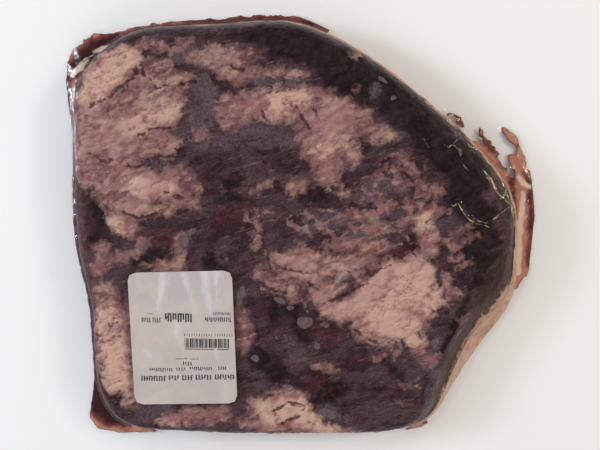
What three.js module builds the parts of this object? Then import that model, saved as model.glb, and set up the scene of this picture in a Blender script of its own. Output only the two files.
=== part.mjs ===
// Raw beef brisket, the flat half, vacuum-packed in a clear bag with a blank-form
// price label on top. Millimetres, +Z up. The pack lies fat side down, with the origin
// at the middle of its footprint, on the surface that it rests on.
import * as THREE from "three";

// ---- driving dimensions ----
const BAG_LENGTH = 283; // along X, over the welded border
const BAG_WIDTH = 260; // along Y, over the welded border
const PACK_HEIGHT = 24.5; // of the flat top above the table

const BORDER_UNDERSIDE = 0.8; // height of the border's lower film
const BORDER_THICKNESS = 2.0; // two films with the juice between them
const FOOT_HEIGHT = 4.0; // where the swollen side meets the border
const BORDER_LIP = 0.4; // how much further out the lower film's edge is than the upper's
const SIDE_FULLNESS = 2.2; // 2 is an elliptic side, more is a squarer one
const LEDGE_FULLNESS = 0.85; // under 1 is a hollow slope, where the fat cap juts out
const LEDGE_DIRECTION = THREE.MathUtils.degToRad(-32);
const LEDGE_SPREAD = THREE.MathUtils.degToRad(28); // to either side of that direction
const FLAT_BASE = 0.93; // share of the meat's foot that lies flat on the table
const BASE_EDGE = 0.985; // share of the foot where the base is half way up to the border

const LABEL_WIDTH = 61.5;
const LABEL_HEIGHT = 79.5;
const LABEL_THICKNESS = 0.4;
const LABEL_CORNER = 4.5;
const LABEL_GAP = 0.35; // between the bag's film and the label
const LABEL_CENTRE = new THREE.Vector2(-67.2, -60.9);
const LABEL_TURN = THREE.MathUtils.degToRad(1.8);

const AROUND = 120; // segments round the pack
const BASE_RINGS = 3;
const SIDE_RINGS = 7;
const PLATEAU_RINGS = 9;
const CURVE_SAMPLES = 12; // between one corner of an outline and the next
const LABEL_COLUMNS = 12;
const LABEL_ROWS = 16;

// ---- plan outlines ----
// Each is a smooth closed curve through its corners, as shares of half the length and
// half the width, listed anticlockwise from the right-hand end.
const BORDER_CORNERS = [
  [1.0, 0.08], [0.985, 0.23], [0.955, 0.37], [0.88, 0.475], [0.64, 0.55],
  [0.37, 0.775], [0.12, 0.93], [-0.04, 0.995], [-0.35, 0.985], [-0.705, 0.965],
  [-0.925, 0.9], [-0.995, 0.785], [-0.985, 0.45], [-0.995, 0.1], [-0.985, -0.1],
  [-0.94, -0.35], [-0.925, -0.75], [-0.94, -0.966], [-0.43, -0.98], [0.14, -0.975],
  [0.5, -0.955], [0.585, -0.925], [0.65, -0.855], [0.72, -0.71], [0.8, -0.54],
  [0.89, -0.395], [0.965, -0.27], [0.99, -0.08],
];
const FOOT_CORNERS = [
  [0.915, 0.0], [0.91, 0.1], [0.88, 0.2], [0.79, 0.34], [0.63, 0.51],
  [0.355, 0.755], [0.13, 0.9], [-0.04, 0.96], [-0.35, 0.95], [-0.69, 0.92],
  [-0.83, 0.82], [-0.93, 0.68], [-0.955, 0.3], [-0.95, -0.08], [-0.9, -0.35],
  [-0.885, -0.72], [-0.8, -0.9], [-0.43, -0.955], [0.14, -0.945], [0.48, -0.92],
  [0.6, -0.85], [0.66, -0.74], [0.79, -0.52], [0.88, -0.38], [0.925, -0.25],
  [0.92, -0.12],
];
const SHOULDER_CORNERS = [
  [0.81, 0.02], [0.78, 0.16], [0.69, 0.31], [0.56, 0.44], [0.32, 0.68],
  [0.12, 0.785], [-0.04, 0.83], [-0.35, 0.86], [-0.6, 0.855], [-0.79, 0.76],
  [-0.87, 0.64], [-0.89, 0.35], [-0.875, 0.06], [-0.85, -0.17], [-0.82, -0.4],
  [-0.805, -0.7], [-0.7, -0.865], [-0.43, -0.89], [0.0, -0.885], [0.36, -0.875],
  [0.47, -0.83], [0.54, -0.68], [0.625, -0.48], [0.69, -0.345], [0.75, -0.225],
  [0.795, -0.1],
];

// Low swells and hollows of the top: middle, half-widths and height in millimetres.
const TOP_SWELLS = [
  { name: "fat_mound", x: 55, y: -28, rx: 42, ry: 34, rise: 2.6 },
  { name: "middle_fat", x: 12, y: 62, rx: 46, ry: 26, rise: 1.8 },
  { name: "corner_fat", x: -100, y: 86, rx: 28, ry: 20, rise: 1.6 },
  { name: "left_fat", x: -92, y: 34, rx: 34, ry: 30, rise: 1.4 },
  { name: "muscle_dip", x: -18, y: 18, rx: 34, ry: 30, rise: -1.5 },
  { name: "bottom_dip", x: 25, y: -92, rx: 26, ry: 18, rise: -1.8 },
  { name: "far_dip", x: 70, y: 52, rx: 40, ry: 22, rise: -1.6 },
];

// ---- shape functions ----
// The radius of a closed outline in each direction from the origin.
function polarOutline(corners) {
  const points = corners.map(
    ([x, y]) => new THREE.Vector3((x * BAG_LENGTH) / 2, (y * BAG_WIDTH) / 2, 0),
  );
  const curve = new THREE.CatmullRomCurve3(points, true, "centripetal");
  const samples = curve.getPoints(CURVE_SAMPLES * corners.length).map((p) => ({
    angle: Math.atan2(p.y, p.x),
    radius: Math.hypot(p.x, p.y),
  }));
  samples.sort((a, b) => a.angle - b.angle);
  return (angle) => {
    const turned = Math.atan2(Math.sin(angle), Math.cos(angle));
    let next = samples.findIndex((s) => s.angle > turned);
    if (next < 0) next = 0;
    const after = samples[next];
    const before = samples[(next + samples.length - 1) % samples.length];
    const gap = (a, b) => (b - a + 2 * Math.PI) % (2 * Math.PI);
    const share = gap(before.angle, turned) / gap(before.angle, after.angle);
    return THREE.MathUtils.lerp(before.radius, after.radius, share);
  };
}

const borderRadius = polarOutline(BORDER_CORNERS);
const footRadius = polarOutline(FOOT_CORNERS);
const shoulderRadius = polarOutline(SHOULDER_CORNERS);

function topHeight(x, y) {
  const swell = TOP_SWELLS.reduce((sum, s) => {
    const far = ((x - s.x) / s.rx) ** 2 + ((y - s.y) / s.ry) ** 2;
    return sum + s.rise * Math.exp(-far);
  }, 0);
  return PACK_HEIGHT + swell;
}

// The side is full all round, but for the slope over the jutting fat cap.
function sideFullness(angle) {
  const off = Math.atan2(Math.sin(angle - LEDGE_DIRECTION), Math.cos(angle - LEDGE_DIRECTION));
  const ledge = Math.exp(-((off / LEDGE_SPREAD) ** 2));
  return THREE.MathUtils.lerp(SIDE_FULLNESS, LEDGE_FULLNESS, ledge);
}

// The stations of a section, from the middle of the underside, out to the border and
// back over the side to the middle of the top. place() gives the radius and height.
function sectionStations() {
  const stations = [];
  const add = (place) => stations.push(place);
  for (let i = 0; i <= BASE_RINGS; i++) {
    const share = (FLAT_BASE * i) / BASE_RINGS;
    add((angle) => ({ radius: share * footRadius(angle), height: 0 }));
  }
  add((angle) => ({
    radius: BASE_EDGE * footRadius(angle),
    height: BORDER_UNDERSIDE / 2,
  }));
  add((angle) => ({ radius: borderRadius(angle), height: BORDER_UNDERSIDE }));
  add((angle) => ({
    radius: borderRadius(angle) - BORDER_LIP,
    height: BORDER_UNDERSIDE + BORDER_THICKNESS,
  }));
  for (let i = 0; i <= SIDE_RINGS; i++) {
    const share = 1 - Math.cos(((i / SIDE_RINGS) * Math.PI) / 2);
    add((angle) => {
      const radius = THREE.MathUtils.lerp(footRadius(angle), shoulderRadius(angle), share);
      const top = topHeight(radius * Math.cos(angle), radius * Math.sin(angle));
      const fullness = sideFullness(angle);
      const rise = (1 - (1 - share) ** fullness) ** (1 / fullness);
      return { radius, height: FOOT_HEIGHT + (top - FOOT_HEIGHT) * rise };
    });
  }
  for (let i = PLATEAU_RINGS - 1; i >= 0; i--)
    add((angle) => {
      const radius = (i / PLATEAU_RINGS) * shoulderRadius(angle);
      return {
        radius,
        height: topHeight(radius * Math.cos(angle), radius * Math.sin(angle)),
      };
    });
  return stations;
}

// ---- the sealed bag with the brisket in it: a lathed section stretched to the outlines ----
function sealedBag() {
  const stations = sectionStations();
  const last = stations.length - 1;
  const profile = stations.map(
    (_, i) => new THREE.Vector2(i === 0 || i === last ? 0 : 1, i),
  );
  const geometry = new THREE.LatheGeometry(profile, AROUND);
  const position = geometry.getAttribute("position");
  for (let i = 0; i < position.count; i++) {
    const station = Math.round(position.getY(i));
    const turn = Math.round(
      (Math.atan2(-position.getZ(i), position.getX(i)) * AROUND) / (2 * Math.PI),
    );
    const angle = (turn * 2 * Math.PI) / AROUND;
    const { radius, height } = stations[station](angle);
    position.setXYZ(i, radius * Math.cos(angle), radius * Math.sin(angle), height);
  }
  const film = new THREE.MeshStandardMaterial({
    color: 0x5a3a3c,
    roughness: 0.2,
    metalness: 0,
  });
  const bag = new THREE.Mesh(geometry, film);
  bag.name = "sealed_bag";
  return bag;
}

// ---- the paper label, bent to the top of the bag ----
// Moves a point of the label's rectangle in to its rounded corners.
function roundedCorner(x, y) {
  const innerX = LABEL_WIDTH / 2 - LABEL_CORNER;
  const innerY = LABEL_HEIGHT / 2 - LABEL_CORNER;
  const overX = Math.max(Math.abs(x) - innerX, 0);
  const overY = Math.max(Math.abs(y) - innerY, 0);
  if (overX === 0 || overY === 0) return [x, y];
  const scale = Math.max(overX, overY) / Math.hypot(overX, overY);
  return [
    Math.sign(x) * (innerX + overX * scale),
    Math.sign(y) * (innerY + overY * scale),
  ];
}

function priceLabel() {
  const geometry = new THREE.BoxGeometry(
    LABEL_WIDTH, LABEL_HEIGHT, LABEL_THICKNESS, LABEL_COLUMNS, LABEL_ROWS, 1,
  );
  const position = geometry.getAttribute("position");
  const middle = new THREE.Vector2(0, 0);
  for (let i = 0; i < position.count; i++) {
    const [x, y] = roundedCorner(position.getX(i), position.getY(i));
    const onBag = new THREE.Vector2(x, y).rotateAround(middle, LABEL_TURN).add(LABEL_CENTRE);
    const bagTop = topHeight(onBag.x, onBag.y);
    const middleHeight = bagTop + LABEL_GAP + LABEL_THICKNESS / 2;
    position.setXYZ(i, x, y, middleHeight + position.getZ(i));
  }
  const paper = new THREE.MeshStandardMaterial({
    color: 0xcbc5c6,
    roughness: 0.45,
    metalness: 0,
  });
  const label = new THREE.Mesh(geometry, paper);
  label.name = "price_label";
  label.position.set(LABEL_CENTRE.x, LABEL_CENTRE.y, 0);
  label.rotation.z = LABEL_TURN;
  return label;
}

const pack = new THREE.Group();
pack.add(sealedBag());
pack.add(priceLabel());

export default pack;
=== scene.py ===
import math

import bmesh
import bpy
import numpy as np
from mathutils import Matrix, Vector, noise
from mathutils.bvhtree import BVHTree


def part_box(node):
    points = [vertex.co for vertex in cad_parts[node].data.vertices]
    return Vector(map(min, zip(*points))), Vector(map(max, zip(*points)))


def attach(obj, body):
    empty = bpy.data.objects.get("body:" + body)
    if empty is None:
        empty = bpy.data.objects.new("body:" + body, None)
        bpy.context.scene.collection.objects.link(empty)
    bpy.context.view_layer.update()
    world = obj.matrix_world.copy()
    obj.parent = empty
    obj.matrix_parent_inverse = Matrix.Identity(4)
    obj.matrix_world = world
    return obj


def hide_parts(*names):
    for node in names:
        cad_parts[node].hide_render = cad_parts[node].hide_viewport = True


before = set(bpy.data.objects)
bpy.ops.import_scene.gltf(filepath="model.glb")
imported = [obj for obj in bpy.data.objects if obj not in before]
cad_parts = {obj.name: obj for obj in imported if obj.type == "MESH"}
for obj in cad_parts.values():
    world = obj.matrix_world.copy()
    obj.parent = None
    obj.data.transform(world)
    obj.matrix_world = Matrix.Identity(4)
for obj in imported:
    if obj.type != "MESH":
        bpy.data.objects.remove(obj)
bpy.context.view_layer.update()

noise.seed_set(1)  # or else noise_vector starts from the clock

# ----------------------------------------------------------
# Fat cap: the layer of firm cream fat under the lean. It runs through the whole underside,
# thin on the left and thick on the right, where it juts out as a ledge round the corner.
# It is flat where the pack rests, and the bag presses its rim up against the lean's side.
# ----------------------------------------------------------
MM = 0.001
BORDER_TOP = 4.15  # mm; the meat fills the bag above this height, out to the bag's side
MEAT_FOOT = 0.45  # mm; the lower film lies between the meat and the table
FOOT_TUCK = 0.985  # the meat's foot draws in a little under its side

CAP_THICKNESS = 8.5  # mm, at the cap's middle
CAP_MIDDLE = (-12.0, 2.0)
CAP_SLOPE = (0.018, -0.013)  # rise of the cap's top towards the near right-hand corner
CAP_VOXEL = 1.5
CAP_INSET = 0.35
CAP_LUMPS = 0.9
CAP_SINK = 0.5
RIM_WAVE = 2.4  # how far the rim goes up and down the lean's side
RIM_LIFT = 0.6
PAINT_REACH = 8.0  # mm; distances are painted up to this far
MERGE = 0.01  # mm; points closer than this are one point
WET_RELIEF = 0.4 * MM


def form_of(mesh):
    bm = bmesh.new()
    bm.from_mesh(mesh)
    return bm


def welded(node):
    """A copy of a node's mesh, with its faces joined where they meet."""
    bm = form_of(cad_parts[node].data)
    bmesh.ops.remove_doubles(bm, verts=bm.verts, dist=MERGE * MM)
    return bm


def to_mesh_object(name, bm):
    mesh = bpy.data.meshes.new(name)
    bm.to_mesh(mesh)
    bm.free()
    made = bpy.data.objects.new(name, mesh)
    bpy.context.scene.collection.objects.link(made)
    return made


def finished_form(made):
    """An object's form with its modifier or bevel applied. The object itself goes."""
    bpy.context.view_layer.update()
    final = made.evaluated_get(bpy.context.evaluated_depsgraph_get())
    mesh = bpy.data.meshes.new_from_object(final)
    bpy.data.objects.remove(made)
    bm = form_of(mesh)
    bpy.data.meshes.remove(mesh)
    return bm


def slice_up(bm, place, facing=(0, 0, 1), **clear):
    """Cuts a form along a plane, and returns the points of the cut."""
    geom = bm.verts[:] + bm.edges[:] + bm.faces[:]
    cut = bmesh.ops.bisect_plane(bm, geom=geom, plane_co=place, plane_no=facing, **clear)
    return [v for v in cut["geom_cut"] if isinstance(v, bmesh.types.BMVert)]


def close_up(bm):
    bmesh.ops.holes_fill(bm, edges=[e for e in bm.edges if e.is_boundary], sides=0)
    bmesh.ops.recalc_face_normals(bm, faces=bm.faces)


def cap_top(x, y):
    """Height of the fat cap's top, all in millimetres."""
    rise = CAP_SLOPE[0] * (x - CAP_MIDDLE[0]) + CAP_SLOPE[1] * (y - CAP_MIDDLE[1])
    return CAP_THICKNESS + rise


def cut_level(bm, height, keep_above):
    """Cuts a closed form along the cap's top, moved up by height, and closes the cut."""
    slice_up(
        bm,
        (CAP_MIDDLE[0] * MM, CAP_MIDDLE[1] * MM, (CAP_THICKNESS + height) * MM),
        Vector((-CAP_SLOPE[0], -CAP_SLOPE[1], 1)).normalized(),
        clear_inner=keep_above,
        clear_outer=not keep_above,
    )
    close_up(bm)


def bag_space():
    """The space inside the sealed bag that the meat fills, without the welded border."""
    bm = welded("sealed_bag")
    slice_up(bm, (0, 0, BORDER_TOP * MM), clear_inner=True)
    rim = [e for e in bm.edges if e.is_boundary]
    walls = bmesh.ops.extrude_edge_only(bm, edges=rim)["geom"]
    foot = [v for v in walls if isinstance(v, bmesh.types.BMVert)]
    bmesh.ops.translate(bm, verts=foot, vec=(0, 0, (MEAT_FOOT - BORDER_TOP) * MM))
    bmesh.ops.scale(bm, verts=foot, vec=(FOOT_TUCK, FOOT_TUCK, 1))
    close_up(bm)
    return bm


def even_skin(bm, voxel, rounds):
    """Gives a closed form one even skin of small faces and takes the facets out of it."""
    rough = to_mesh_object("rough", bm)
    remesh = rough.modifiers.new("even", "REMESH")
    remesh.mode = "VOXEL"
    remesh.voxel_size = voxel * MM
    bm = finished_form(rough)
    for _ in range(rounds):
        bmesh.ops.smooth_vert(
            bm, verts=bm.verts, factor=0.5, use_axis_x=True, use_axis_y=True, use_axis_z=True
        )
    return bm


def per_point(mesh, what):
    values = np.empty(len(mesh.vertices) * 3)
    mesh.vertices.foreach_get(what, values)
    return values.reshape(-1, 3)


def places(mesh):
    """The mesh's points in millimetres."""
    return per_point(mesh, "co") / MM


def outward(mesh):
    return per_point(mesh, "normal")


def put_places(mesh, points):
    mesh.vertices.foreach_set("co", (points * MM).ravel())
    mesh.update()


def paint(mesh, name, values):
    """Keeps one value for each of the mesh's points, for its material to read."""
    layer = mesh.attributes.new(name, "FLOAT", "POINT")
    kept = np.ascontiguousarray(values.clip(-PAINT_REACH, PAINT_REACH), np.float32)
    layer.data.foreach_set("value", kept)


def lumps(points, size, seed=0.0, octaves=3):
    """Soft lumps of about that size in millimetres, from -1 to 1."""
    shift = Vector((seed * 17.3, seed * 5.1, seed * 9.7))
    return np.array(
        [noise.fractal(Vector(p) / size + shift, 0.6, 2.0, octaves) for p in points.tolist()]
    ).clip(-1, 1)


def ramp01(value, low, high):
    share = ((value - low) / (high - low)).clip(0, 1)
    return share * share * (3 - 2 * share)


def shade_smooth(piece):
    piece.data.polygons.foreach_set("use_smooth", [True] * len(piece.data.polygons))


def rest_on_body(piece, node):
    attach(piece, "root")
    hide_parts(node)


def make_node(tree, kind, inputs=None, **settings):
    """A new node, with each input linked to an output or set to a plain value."""
    made = tree.nodes.new(kind)
    for name, value in settings.items():
        setattr(made, name, value)
    for name, value in (inputs or {}).items():
        if isinstance(value, bpy.types.NodeSocket):
            tree.links.new(value, made.inputs[name])
        else:
            made.inputs[name].default_value = value
    return made


def new_looks(piece, name):
    """Gives the piece an empty material: its node tree, and the piece's own space in it."""
    material = bpy.data.materials.new(name)
    material.use_nodes = True
    tree = material.node_tree
    tree.nodes.clear()
    piece.data.materials.append(material)
    return tree, make_node(tree, "ShaderNodeTexCoord").outputs["Object"]


def mix_colour(tree, share, first, second, blend="MIX"):
    first, second = ((*c, 1) if isinstance(c, tuple) else c for c in (first, second))
    inputs = {0: share, 6: first, 7: second}
    made = make_node(tree, "ShaderNodeMix", inputs, data_type="RGBA", blend_type=blend)
    return made.outputs[2]


def worked_out(tree, operation, *values):
    inputs = dict(enumerate(values))
    return make_node(tree, "ShaderNodeMath", inputs, operation=operation).outputs[0]


def times(tree, first, second):
    return worked_out(tree, "MULTIPLY", first, second)


def times_plus(tree, first, second, third):
    return worked_out(tree, "MULTIPLY_ADD", first, second, third)


def between(tree, value, low, high, to_low=0.0, to_high=1.0):
    """A smooth step of value from low to high."""
    inputs = {"Value": value, "From Min": low, "From Max": high}
    inputs |= {"To Min": to_low, "To Max": to_high}
    made = make_node(tree, "ShaderNodeMapRange", inputs, interpolation_type="SMOOTHSTEP")
    return made.outputs["Result"]


def tinted(tree, colour, tint, value, low, high, least=0.0, most=1.0):
    """colour going over to tint while value goes from low to high."""
    return mix_colour(tree, between(tree, value, low, high, least, most), colour, tint)


def speckle(tree, where, per_metre, detail=3.0, roughness=0.55, distortion=0.0, output="Fac"):
    """Noise in the object's own space, from about 0.2 to 0.8."""
    inputs = {"Vector": where, "Scale": per_metre, "Detail": detail}
    inputs |= {"Roughness": roughness, "Distortion": distortion}
    return make_node(tree, "ShaderNodeTexNoise", inputs).outputs[output]


def cells(tree, where, per_metre, feature):
    """Voronoi cells: the node, for its Color or Distance."""
    inputs = {"Vector": where, "Scale": per_metre}
    return make_node(tree, "ShaderNodeTexVoronoi", inputs, feature=feature)


def roughened(tree, value, grain, size):
    """value moved up and down by a noise, by up to about a third of size either way."""
    return times_plus(tree, worked_out(tree, "SUBTRACT", grain, 0.5), size, value)


def painted(tree, name):
    return make_node(tree, "ShaderNodeAttribute", attribute_name=name).outputs["Fac"]


def drawn_out(tree, where, turn, stretch):
    """Space turned about Z and stretched, so that a texture in it is drawn out along X."""
    inputs = {"Vector": where, "Rotation": (0, 0, turn), "Scale": stretch}
    made = make_node(tree, "ShaderNodeMapping", inputs, vector_type="TEXTURE")
    return made.outputs["Vector"]


def wavy(tree, space, where, per_metre, size):
    """space pushed about by a noise in where, times size in metres."""
    push = speckle(tree, where, per_metre, 3.0, 0.5, output="Color")
    inputs = {0: push, 1: (0.5, 0.5, 0.5)}
    push = make_node(tree, "ShaderNodeVectorMath", inputs, operation="SUBTRACT").outputs[0]
    inputs = {0: push, 1: (size, size, size), 2: space}
    return make_node(tree, "ShaderNodeVectorMath", inputs, operation="MULTIPLY_ADD").outputs[0]


def bumped(tree, height, strength, distance):
    """The surface's own direction, tilted by a relief."""
    inputs = {"Height": height, "Strength": strength, "Distance": distance}
    return make_node(tree, "ShaderNodeBump", inputs).outputs["Normal"]


def surface(tree, shader):
    make_node(tree, "ShaderNodeOutputMaterial", {"Surface": shader.outputs[0]})


def wet_surface(tree, colour, height, strength, roughness, gloss=0.2):
    inputs = {"Base Color": colour, "Roughness": roughness, "Specular IOR Level": gloss}
    inputs["Normal"] = bumped(tree, height, strength, WET_RELIEF)
    surface(tree, make_node(tree, "ShaderNodeBsdfPrincipled", inputs))


CREAM = (0.405, 0.252, 0.218)
ROSY = (0.275, 0.138, 0.132)
MAUVE = (0.185, 0.095, 0.100)
VEIN_AND_CREASE_SHADE = (0.105, 0.030, 0.032)
PALE = (0.555, 0.350, 0.280)
BUTTERY = (0.58, 0.375, 0.245)
RED_VEIN = (0.22, 0.075, 0.070)
LOBE_TURN = math.radians(22)
LOBE_STRETCH = 2.1  # how much longer a lobe of fat is than it is wide
NET_WAVE = 0.006  # m that the net of veins wanders
NET_PER_METRE = 190


def lobes_of(points, width, seed):
    """Lobes of fat, drawn out along the grain: 1 on top of a lobe, 0 in the crease beside it."""
    cos, sin = math.cos(LOBE_TURN), math.sin(LOBE_TURN)
    turned = points.copy()
    turned[:, 0] = (points[:, 0] * cos + points[:, 1] * sin) / LOBE_STRETCH
    turned[:, 1] = points[:, 1] * cos - points[:, 0] * sin
    return (np.abs(lumps(turned, width, seed, 4)) / 0.38).clip(0, 1)


def fat_looks(tree, where, paleness, warmth, cream):
    """Colour and height of raw fat: lobes, cream and rosy fields, and fine dark red creases."""
    drawn = drawn_out(tree, where, LOBE_TURN, (LOBE_STRETCH, 1.0, 1.2))
    lobe = painted(tree, "lobe")
    broken = speckle(tree, drawn, 320, 4, 0.62, 0.8)
    fields = worked_out(tree, "ADD", speckle(tree, drawn, 75, 4, 0.55, 0.6), paleness)
    # painted light and shade: creamier on the lobe tops, rosier towards the creases
    fields = times_plus(tree, lobe, 0.20, fields)
    colour = tinted(tree, ROSY, cream, fields, 0.50, 0.80)
    bruised = worked_out(tree, "SUBTRACT", speckle(tree, drawn, 130, 5, 0.62, 0.8), paleness)
    colour = tinted(tree, colour, MAUVE, bruised, 0.50, 0.66, 0.0, 0.75)
    shade = between(tree, broken, 0.25, 0.75, 0.86, 1.12)
    colour = mix_colour(tree, 1.0, colour, shade, "MULTIPLY")
    # the creases: dark red tissue, deepened by painted shade
    crease = roughened(tree, lobe, broken, 0.30)
    crease_zone = between(tree, speckle(tree, where, 60, 3, 0.6), 0.42, 0.58)
    crease = times(tree, between(tree, crease, 0.02, 0.26, 0.85, 0.0), crease_zone)
    colour = mix_colour(tree, crease, colour, VEIN_AND_CREASE_SHADE)
    flecks = times(tree, speckle(tree, drawn, 620, 4, 0.7, 1.4), bruised)
    colour = tinted(tree, colour, VEIN_AND_CREASE_SHADE, flecks, 0.27, 0.36, 0.0, 0.62)
    # painted light: paler on the lobe tops
    lobe_top_light = times(tree, speckle(tree, drawn, 380, 3, 0.6), lobe)
    colour = tinted(tree, colour, PALE, lobe_top_light, 0.38, 0.62, 0.0, 0.35)
    colour = mix_colour(tree, warmth, colour, BUTTERY)
    bent_space = wavy(tree, drawn, where, 260, NET_WAVE)
    net = cells(tree, bent_space, NET_PER_METRE, "DISTANCE_TO_EDGE").outputs["Distance"]
    net_zone = between(tree, speckle(tree, where, 140, 4, 0.6), 0.44, 0.62, 0.0, 0.62)
    net = times(tree, between(tree, net, 0.0, 0.09, 1.0, 0.0), net_zone)
    colour = mix_colour(tree, net, colour, RED_VEIN)
    height = times_plus(tree, lobe, 0.5, broken)
    return colour, height


cap = bag_space()
cut_level(cap, 0.0, keep_above=False)
fat_cap = to_mesh_object("fat_cap", even_skin(cap, CAP_VOXEL, 4))
points, normals = places(fat_cap.data), outward(fat_cap.data)
paint(fat_cap.data, "lobe", lobes_of(points, 9, 31))
firm = lumps(points, 22, 1) * CAP_LUMPS
rim = ramp01(np.abs(normals[:, 2]), 0.9, 0.4)
points -= normals * (CAP_INSET + CAP_SINK * np.maximum(-firm, 0))[:, None]
rim *= ramp01(points[:, 2], 5, 9)
points[:, 2] += rim * (lumps(points, 12, 2) * RIM_WAVE + RIM_LIFT)
points[:, 2] = np.maximum(points[:, 2], MEAT_FOOT)
put_places(fat_cap.data, points)
shade_smooth(fat_cap)

tree, where = new_looks(fat_cap, "fat_cap_fat")
colour, height = fat_looks(tree, where, 0.12, 0.55, PALE)
wet_surface(tree, colour, height, 0.6, 0.38)
rest_on_body(fat_cap, "sealed_bag")

# ----------------------------------------------------------
# Lean: the slab of dark red muscle, with its grain slanting across it. Islands of softer
# fat, cut through by the trimming knife, lie on its top side. They are part of its skin
# here: bulging a little, with dark creases between the lobes and pits where they part;
# the creases and pits are darkened further with painted shade.
# ----------------------------------------------------------
LEAN_VOXEL = 1.05
LEAN_INSET = 0.55  # mm under the bag's own surface, where the film is
LEAN_DROP = 0.45  # how much lower the lean lies than the fat on it
GRAIN_TURN = math.radians(20)
BLOCK_TURN = math.radians(8)  # the bundles right of the middle lie flatter than the grain
FIBRE_STRETCH = (5.0, 1.0, 1.6)
BLOCK_STRETCH = (2.1, 1.0, 1.4)
BLOCKS_PER_METRE = 115
BLOCK_BEND = 0.009  # m that the bundles' outlines wander
FAT_SPREAD = 1.2  # mm that the fat reaches past its strokes
LEDGE_SPREAD = 1.6
WANDER = 2.2  # mm that a stroke's edge wanders in wide bends
FRAY = 0.9  # and in small ones
LEAN_SWELL = 0.30
LEAN_ROUGH = 0.22
SIDE_TUCK = 1.3  # mm that the lean's side draws in towards the fat cap

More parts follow.
